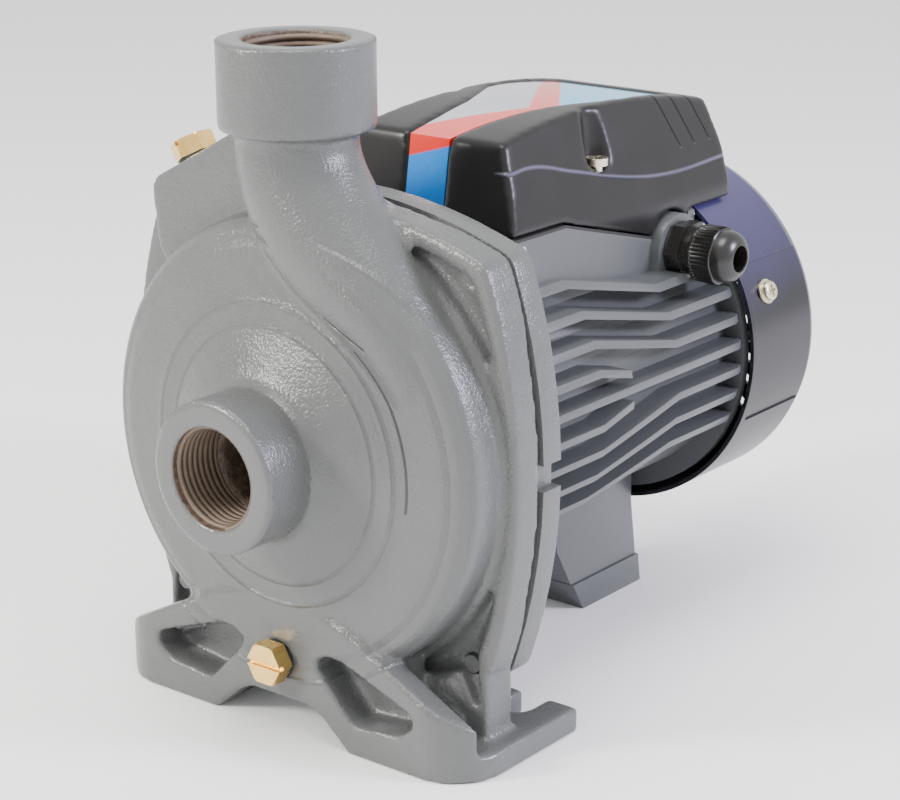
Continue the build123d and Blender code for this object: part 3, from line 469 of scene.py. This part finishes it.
def relax(mesh, passes, strength):
    # averages each point with its neighbours; strength is one value or one for each point
    place = points(mesh)
    pairs = numpy.empty(len(mesh.edges) * 2, int)
    mesh.edges.foreach_get("vertices", pairs)
    a, b = pairs.reshape(-1, 2).T
    count = numpy.bincount(pairs, minlength=len(place))[:, None]
    for _ in range(passes):
        total = numpy.zeros_like(place)
        for axis in range(3):
            total[:, axis] = numpy.bincount(a, place[b, axis], len(place))
            total[:, axis] += numpy.bincount(b, place[a, axis], len(place))
        place += (total / count - place) * strength
    store(mesh, place)
    return place


def store(mesh, place):
    mesh.vertices.foreach_set("co", place.ravel())
    mesh.update()


def thinned(mesh, most):
    triangles = sum(len(face.vertices) - 2 for face in mesh.polygons)
    if triangles <= most:
        return mesh
    piece = bpy.data.objects.new("thinned", mesh)
    scene.collection.objects.link(piece)
    thin = piece.modifiers.new("thin", "DECIMATE")
    thin.ratio = most / triangles
    return settled(piece)


def inside(mesh, low, high):
    store(mesh, numpy.clip(points(mesh), low, high))


def smoothShade(mesh, angle=None):
    mesh.polygons.foreach_set("use_smooth", [True] * len(mesh.polygons))
    if angle is not None:
        mesh.set_sharp_from_angle(angle=math.radians(angle))
    mesh.update()


def gap(place, across, up, centre):
    return numpy.hypot(place[:, across] - centre[0], place[:, up] - centre[1])


def onRound(place, across, up, centre, radius, reach, chosen):
    # puts the points that are close to a turned wall exactly on it
    away = gap(place, across, up, centre)
    close = chosen & (abs(away - radius) < reach)
    for axis, middle in ((across, centre[0]), (up, centre[1])):
        place[close, axis] = middle + (place[close, axis] - middle) * radius / away[close]


castSettings = {
    "voxel": 1.12 * mm, "passes": 6, "strength": 0.5, "mostTriangles": 190000,
    "portRadius": 24.75 * mm, "threadRadius": 16.6 * mm, "portReach": 0.65 * mm,
    "collarFoot": 201 * mm, "bossFoot": 24.5 * mm, "portReachOut": 26 * mm, "portHold": 0.75,
}


def castBody(settings):
    mesh = remeshed("pump_body", settings["voxel"])
    place = points(mesh)
    suctionMiddle = (0, shaftZ)
    dischargeMiddle = (0, dischargeY)
    onSuction = place[:, 1] < dischargeY - settings["bossFoot"]
    onSuction &= gap(place, 0, 2, suctionMiddle) < settings["portReachOut"]
    onDischarge = place[:, 2] > settings["collarFoot"]
    onDischarge &= gap(place, 0, 1, dischargeMiddle) < settings["portReachOut"]
    strength = (1 - (onSuction | onDischarge) * settings["portHold"])[:, None] * settings["strength"]
    place = relax(mesh, settings["passes"], strength)
    for chosen, across, up, middle in (
        (onSuction, 0, 2, suctionMiddle), (onDischarge, 0, 1, dischargeMiddle),
    ):
        for radius in (settings["portRadius"], settings["threadRadius"]):
            onRound(place, across, up, middle, radius, settings["portReach"], chosen)
    store(mesh, place)
    mesh = thinned(mesh, settings["mostTriangles"])
    inside(mesh, suctionLow, suctionHigh)
    smoothShade(mesh)
    meshPiece("castBody", mesh, "pump", bodyPaint, ["pump_body"])


castBody(castSettings)
say("pump body")

bracketSettings = {"edge": 0.8 * mm, "segments": 3, "edgeAngle": 28}
housingSettings = {"edge": 0.55 * mm, "segments": 2, "edgeAngle": 28}


def bevelled(node, settings):
    piece = bpy.data.objects.new("bevelled", mergedCopy(node))
    scene.collection.objects.link(piece)
    flatten = piece.modifiers.new("flatten", "DECIMATE")
    flatten.decimate_type = "DISSOLVE"
    flatten.angle_limit = math.radians(2)
    bevel = piece.modifiers.new("edges", "BEVEL")
    bevel.width = settings["edge"]
    bevel.segments = settings["segments"]
    bevel.limit_method = "ANGLE"
    bevel.angle_limit = math.radians(settings["edgeAngle"])
    bevel.use_clamp_overlap = True
    mesh = settled(piece)
    smoothShade(mesh, 35)
    return mesh


meshPiece("castBracket", bevelled("motor_bracket", bracketSettings), "pump", bodyPaint,
          ["motor_bracket"])
say("bracket")

meshPiece("finnedHousing", bevelled("motor_housing", housingSettings), "pump", housingPaint,
          ["motor_housing"])
say("motor housing")

coverSettings = {
    "voxel": 0.85 * mm, "passes": 20, "strength": 0.5, "mostTriangles": 170000,
}


def softCover(settings):
    mesh = remeshed("terminal_cover", settings["voxel"])
    relax(mesh, settings["passes"], settings["strength"])
    mesh = thinned(mesh, settings["mostTriangles"])
    inside(mesh, coverLow, coverHigh)
    smoothShade(mesh)
    meshPiece("softCover", mesh, "pump", coverShell, ["terminal_cover"])


softCover(coverSettings)
say("terminal cover")

# ---- pieces made by geometry nodes


class Grower:
    # a geometry node tree with named inputs; grow() builds a node and links or sets its sockets
    def __init__(self, name, inputs):
        self.tree = bpy.data.node_groups.new(name, "GeometryNodeTree")
        self.tree.interface.new_socket("Geometry", in_out="OUTPUT", socket_type="NodeSocketGeometry")
        self.sizes = {}
        for label, (kind, value) in inputs.items():
            socket = self.tree.interface.new_socket(label, in_out="INPUT", socket_type=f"NodeSocket{kind}")
            if value is not None:
                socket.default_value = value
            self.sizes[label] = socket.identifier
        self.start = self.tree.nodes.new("NodeGroupInput")
        self.end = self.tree.nodes.new("NodeGroupOutput")

    def size(self, label):
        return self.start.outputs[label]

    def grow(self, kind, settings=None, values=None, output=0):
        node = self.tree.nodes.new(kind)
        for key, value in (settings or {}).items():
            setattr(node, key, value)
        for key, value in (values or {}).items():
            if isinstance(value, bpy.types.NodeSocket):
                self.tree.links.new(value, node.inputs[key])
            else:
                node.inputs[key].default_value = value
        return node.outputs[output]

    def finished(self, geometry):
        real = self.grow("GeometryNodeRealizeInstances", values={0: geometry})
        painted = self.grow("GeometryNodeSetMaterial", values={
            "Geometry": real, "Material": self.size("Material"),
        })
        self.tree.links.new(painted, self.end.inputs[0])

    def mesh(self, values):
        holder = bpy.data.objects.new("holder", bpy.data.meshes.new("holder"))
        scene.collection.objects.link(holder)
        modifier = holder.modifiers.new("grow", "NODES")
        modifier.node_group = self.tree
        for label, value in values.items():
            modifier[self.sizes[label]] = value
        return settled(holder)


def threadGrower():
    # a helix that carries a triangular profile, for an inside thread about the Z axis
    tree = Grower("insideThread", {
        "Radius": ("Float", 0.0166), "Pitch": ("Float", 0.0023), "Turns": ("Float", 8.0),
        "Depth": ("Float", 0.0012), "Steps": ("Int", 72), "Material": ("Material", None),
    })
    height = tree.grow("ShaderNodeMath", {"operation": "MULTIPLY"}, {
        0: tree.size("Turns"), 1: tree.size("Pitch"),
    })
    helix = tree.grow("GeometryNodeCurveSpiral", values={
        "Resolution": tree.size("Steps"), "Rotations": tree.size("Turns"),
        "Start Radius": tree.size("Radius"), "End Radius": tree.size("Radius"), "Height": height,
    })
    upright = tree.grow("GeometryNodeSetCurveNormal", {"mode": "Z_UP"}, {"Curve": helix})
    profile = tree.grow("GeometryNodeCurvePrimitiveCircle", {"mode": "RADIUS"}, {
        "Resolution": 6, "Radius": tree.size("Depth"),
    })
    solid = tree.grow("GeometryNodeCurveToMesh", values={
        "Curve": upright, "Profile Curve": profile, "Fill Caps": True,
    })
    shaded = tree.grow("GeometryNodeSetShadeSmooth", values={"Geometry": solid, "Shade Smooth": True})
    tree.finished(shaded)
    return tree


threadSettings = {
    "radius": 16.55 * mm, "pitch": 2.309 * mm, "turns": 8.2, "depth": 1.12 * mm, "steps": 72,
    "lead": 1.3 * mm,
}


def portThreads(settings):
    rust = plain("rustedThread", (0.17, 0.125, 0.09), 0.5, 0.35, 700, 0.25 * mm)
    grower = threadGrower()
    upFromMouth = settings["turns"] * settings["pitch"] + settings["lead"]
    suctionPlace = Matrix.Translation((0, suctionLow.y + upFromMouth, shaftZ))
    suctionTurn = suctionPlace @ Matrix.Rotation(math.pi / 2, 4, "X")
    dischargeTurn = Matrix.Translation((0, dischargeY, suctionHigh.z - upFromMouth))
    for name, turn in (("suctionThread", suctionTurn), ("dischargeThread", dischargeTurn)):
        mesh = grower.mesh({
            "Radius": settings["radius"], "Pitch": settings["pitch"], "Turns": settings["turns"],
            "Depth": settings["depth"], "Steps": settings["steps"], "Material": rust,
        })
        mesh.transform(turn)
        meshPiece(name, mesh, "pump", rust)


portThreads(threadSettings)
say("port threads")

glandSettings = {
    "ribs": 42, "ribDepth": 0.6 * mm, "ribFrom": 1.6 * mm, "ribTo": 8.6 * mm, "flat": 9.75 * mm,
    "round": 10.2 * mm, "bore": 4.6 * mm, "sharpAngle": 32,
    # how far along the nut, and the radius there, both in millimetres
    "dome": (
        (9.6, 9.35), (11.2, 9.3), (12.6, 9.0), (13.8, 8.4), (14.8, 7.5), (15.6, 6.4), (16.1, 5.4),
        (16.2, 4.9),
    ),
    "hollow": ((8.8, 4.6), (8.7, 6.9), (7.7, 6.9), (7.6, 8.6), (0.02, 8.6)),
}


def ribbedNut(settings):
    # rings of points along the gland's axis: a ribbed grip with six flats, a collar and a dome
    count = settings["ribs"] * 4
    start = nutLow.x

    def grip(angle, ribbed, drawnIn=0.0):
        near = (angle + math.pi / 6) % (math.pi / 3) - math.pi / 6
        radius = min(settings["round"], settings["flat"] / math.cos(near))
        crest = 0.5 - 0.5 * math.cos(angle * settings["ribs"])
        return radius - settings["ribDepth"] * crest * ribbed - drawnIn

    ribFrom, ribTo = settings["ribFrom"] / mm, settings["ribTo"] / mm
    gripRings = (
        # how far along the nut, whether it is ribbed there, and how far it is drawn in
        (0, 0, 0.5), (0.5, 0, 0), (1.3, 0, 0), (ribFrom, 1, 0), (ribTo, 1, 0), (ribTo + 0.3, 0, 0),
        (9.3, 0, 0), (9.55, 0, 0.35),
    )
    rings = [
        (along * mm, lambda a, r=ribbed, d=drawnIn * mm: grip(a, r, d)) for along, ribbed, drawnIn in gripRings
    ]
    mouth = ((16.2, settings["bore"] / mm + 0.25), (15.95, settings["bore"] / mm))
    turned = (*settings["dome"], *mouth, *settings["hollow"])
    rings += [(along * mm, lambda a, r=radius * mm: r) for along, radius in turned]
    work = bmesh.new()
    loops = []
    for along, radius in rings:
        loop = []
        for n in range(count):
            angle = 2 * math.pi * n / count
            reach = radius(angle)
            loop.append(work.verts.new((
                start + along, glandY + reach * math.sin(angle), glandZ + reach * math.cos(angle),
            )))
        loops.append(loop)
    for first, second in zip(loops, loops[1:] + loops[:1]):
        for n in range(count):
            after = (n + 1) % count
            work.faces.new((first[n], first[after], second[after], second[n]))
    bmesh.ops.recalc_face_normals(work, faces=work.faces)
    mesh = bpy.data.meshes.new("glandNut")
    work.to_mesh(mesh)
    work.free()
    smoothShade(mesh, settings["sharpAngle"])
    meshPiece("ribbedGlandNut", mesh, "gland_nut", glandPlastic, ["gland_dome_nut"])


ribbedNut(glandSettings)
say("gland nut")

# ---- finishes of the CAD nodes that stay


trimSettings = {
    "edge": 0.35 * mm, "silver": ((0.3, 0.31, 0.34), (0.42, 0.43, 0.46)), "red": (0.7, 0.02, 0.008),
    # the blue's second colour is a painted highlight that the front takes towards its top
    "blue": ((0.002, 0.06, 0.34), (0.004, 0.2, 0.62)), "paleBlue": (0.06, 0.42, 0.7),
    # where the blue's painted highlight starts, in millimetres of height, and over how many millimetres it
    # comes in
    "highlightFrom": 150, "highlightOver": 26,
    # where each band starts on the middle line, its offset across and its slant
    "redFront": (177.4 * mm, 9 * mm, 0.3), "silverTop": (8.4 * mm, 12 * mm, 1.62),
    "redSlash": (63.5 * mm, 1 * mm, -1.6), "blueBack": (74.5 * mm, -2 * mm, -1.4),
}


def trimFoil(strip, settings):
    # coloured bands over the cover: blue front with a painted highlight lightening it towards the top, red
    # edge, silver top, red slash, light blue end
    finish = Finish("printedTrim", Coat_Weight=0.6, Coat_Roughness=0.08)
    place = finish.place()
    x, y, z = finish.axes(place)
    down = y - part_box(strip)[0].y

    def beyond(distance, band):
        start, shift, slant = settings[band]
        return (distance - (start + (x + shift) * slant)).ramp(-settings["edge"], settings["edge"])

    silver = finish.blend(finish.noise(place, 45, 2), *settings["silver"])
    # painted highlight: the blue lightens with height
    paintedHighlight = (z / mm - settings["highlightFrom"]).ramp(0, settings["highlightOver"])
    blue = finish.blend(paintedHighlight, *settings["blue"])
    red = settings["red"]
    redFront = beyond(z, "redFront")
    silverTop = beyond(down, "silverTop") * redFront
    redSlash = beyond(down, "redSlash")
    blueBack = beyond(down, "blueBack")
    color = finish.blend(redFront, blue, red)
    color = finish.blend(silverTop, color, silver)
    color = finish.blend(redSlash, color, red)
    color = finish.blend(blueBack, color, settings["paleBlue"])
    finish.set("Base Color", color)
    finish.set("Roughness", 0.22 + finish.noise(place, 90, 2) * 0.1)
    finish.set("Normal", finish.bump(finish.noise(place, 500, 2), 0.01 * mm, 0.5))
    return finish.material


def boltFinish():
    # zinc-plated, with the ends that show at the pump's face sprayed over
    finish = Finish("sprayedBoltEnds", Metallic=1.0)
    place = finish.place()
    x, y, z = finish.axes(place)
    sprayed = y < jointY
    tone = finish.noise(place, 300, 3)
    finish.set("Base Color", finish.blend(sprayed, (0.7, 0.66, 0.52), paintSettings["castColor"]))
    finish.set("Metallic", 1 - sprayed)
    finish.set("Roughness", 0.26 + tone * 0.14 + sprayed * 0.12)
    finish.set("Normal", finish.bump(tone, 0.03 * mm, 0.6))
    return finish.material


def plugFinish(node, axis):
    low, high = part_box(node)
    return turnedBrass(f"turnedBrass_{node}", (low + high) / 2, axis)


primingAxis = Vector((-0.4759, 0, 0.8795))
finishes = {
    "cover_trim_strip": trimFoil("cover_trim_strip", trimSettings),
    "body_bolts": boltFinish(),
    "priming_plug": plugFinish("priming_plug", primingAxis),
    "drain_plug": plugFinish("drain_plug", Vector((0, -1, 0))),
    "fan_cover": coverPaint,
    "rear_shield": housingPaint,
    "cooling_fan": fanPlastic,
    "gland_body": glandPlastic,
    "terminal_block": blackPlastic,
    "impeller": castBrass,
    "stator_windings": copper,
    "stator_core": laminations,
    "rotor_core": laminations,
    "rotor_end_rings": aluminium,
    "seal_stationary_ring": ceramic,
    "seal_rotary_ring": carbon,
    "run_capacitor": capacitorCase,
}
groups = (
    (zinc, ("fan_cover_screws", "fan_cover_washers", "terminal_cover_screws", "tie_rods", "earth_screw")),
    (castBrass, ("terminal_studs",)),
    (rubber, ("priming_plug_washer", "drain_plug_washer", "body_o_ring", "seal_bellows", "seal_cup",
              "water_slinger", "terminal_gasket", "gland_gasket", "gland_seal")),
    (fanPlastic, ("front_bearing_cage", "rear_bearing_cage")),
    (bearingSteel, tuple(f"{end}_bearing_{part}" for end in ("front", "rear")
                         for part in ("outer_ring", "inner_ring", "balls"))),
    (steel, ("shaft", "impeller_key", "impeller_nut", "impeller_washer", "seal_retainer", "seal_spring",
             "wave_washer", "fan_clip", "capacitor_clamp")),
)
for material, names in groups:
    for name in names:
        finishes[name] = material
for name, material in finishes.items():
    nodes[name].data.materials.clear()
    nodes[name].data.materials.append(material)
left = sorted(set(nodes) - set(finishes))
say(f"finishes; replaced or without one: {left}")

# ---- floor, light and camera

stageSettings = {
    "floorHalf": 3.0, "floorColor": (0.95, 0.95, 0.95), "skyColor": (1.0, 1.0, 1.0), "skyStrength": 1.35,
    "lights": {
        # place, size, power, colour
        "keyLeft": ((-0.62, -1.05, 0.72), 0.26, 19.0, (1.0, 0.98, 0.94)),
        "topLight": ((0.05, -0.25, 1.25), 0.6, 12.0, (1.0, 1.0, 0.96)),
        "rightRear": ((1.15, 0.45, 0.7), 0.28, 22.0, (0.8, 0.78, 1.0)),
    },
}


def studio(settings):
    floorMesh = bpy.data.meshes.new("floor")
    half = settings["floorHalf"]
    corners = [(-half, -half, 0), (half, -half, 0), (half, half, 0), (-half, half, 0)]
    floorMesh.from_pydata(corners, [], [(0, 1, 2, 3)])
    floor = bpy.data.objects.new("floor", floorMesh)
    scene.collection.objects.link(floor)
    floorFinish = Finish("paleFloor")
    floorFinish.set("Base Color", settings["floorColor"])
    floorFinish.set("Roughness", 0.55)
    floorMesh.materials.append(floorFinish.material)
    world = bpy.data.worlds.new("studio")
    world.use_nodes = True
    sky = world.node_tree.nodes["Background"]
    sky.inputs["Color"].default_value = (*settings["skyColor"], 1)
    sky.inputs["Strength"].default_value = settings["skyStrength"]
    scene.world = world
    aim = Vector((0, 0, 0.1))
    for name, (place, size, power, color) in settings["lights"].items():
        lamp = bpy.data.lights.new(name, "AREA")
        lamp.size = size
        lamp.energy = power
        lamp.color = color
        light = bpy.data.objects.new(name, lamp)
        light.location = place
        light.rotation_euler = (aim - Vector(place)).to_track_quat("-Z", "Y").to_euler()
        scene.collection.objects.link(light)


cameraSettings = {
    "place": (0.4930, -0.6279, 0.3416), "yaw": 38.62, "pitch": 17.6, "roll": -0.25,
    "lens": 96.04, "sensor": 36.0,
}


def photographer(settings):
    yaw, pitch, roll = (math.radians(settings[key]) for key in ("yaw", "pitch", "roll"))
    back = Vector((math.sin(yaw) * math.cos(pitch), -math.cos(yaw) * math.cos(pitch), math.sin(pitch)))
    right = Vector((math.cos(yaw), math.sin(yaw), 0))
    up = back.cross(right)
    across = right * math.cos(roll) + up * math.sin(roll)
    above = up * math.cos(roll) - right * math.sin(roll)
    lens = bpy.data.cameras.new("view")
    lens.lens = settings["lens"]
    lens.sensor_width = settings["sensor"]
    lens.sensor_fit = "HORIZONTAL"
    lens.clip_start = 0.01
    camera = bpy.data.objects.new("view", lens)
    turn = Matrix((across, above, back)).transposed().to_4x4()
    camera.matrix_world = Matrix.Translation(settings["place"]) @ turn
    scene.collection.objects.link(camera)
    scene.camera = camera


studio(stageSettings)
photographer(cameraSettings)
say("studio and camera")
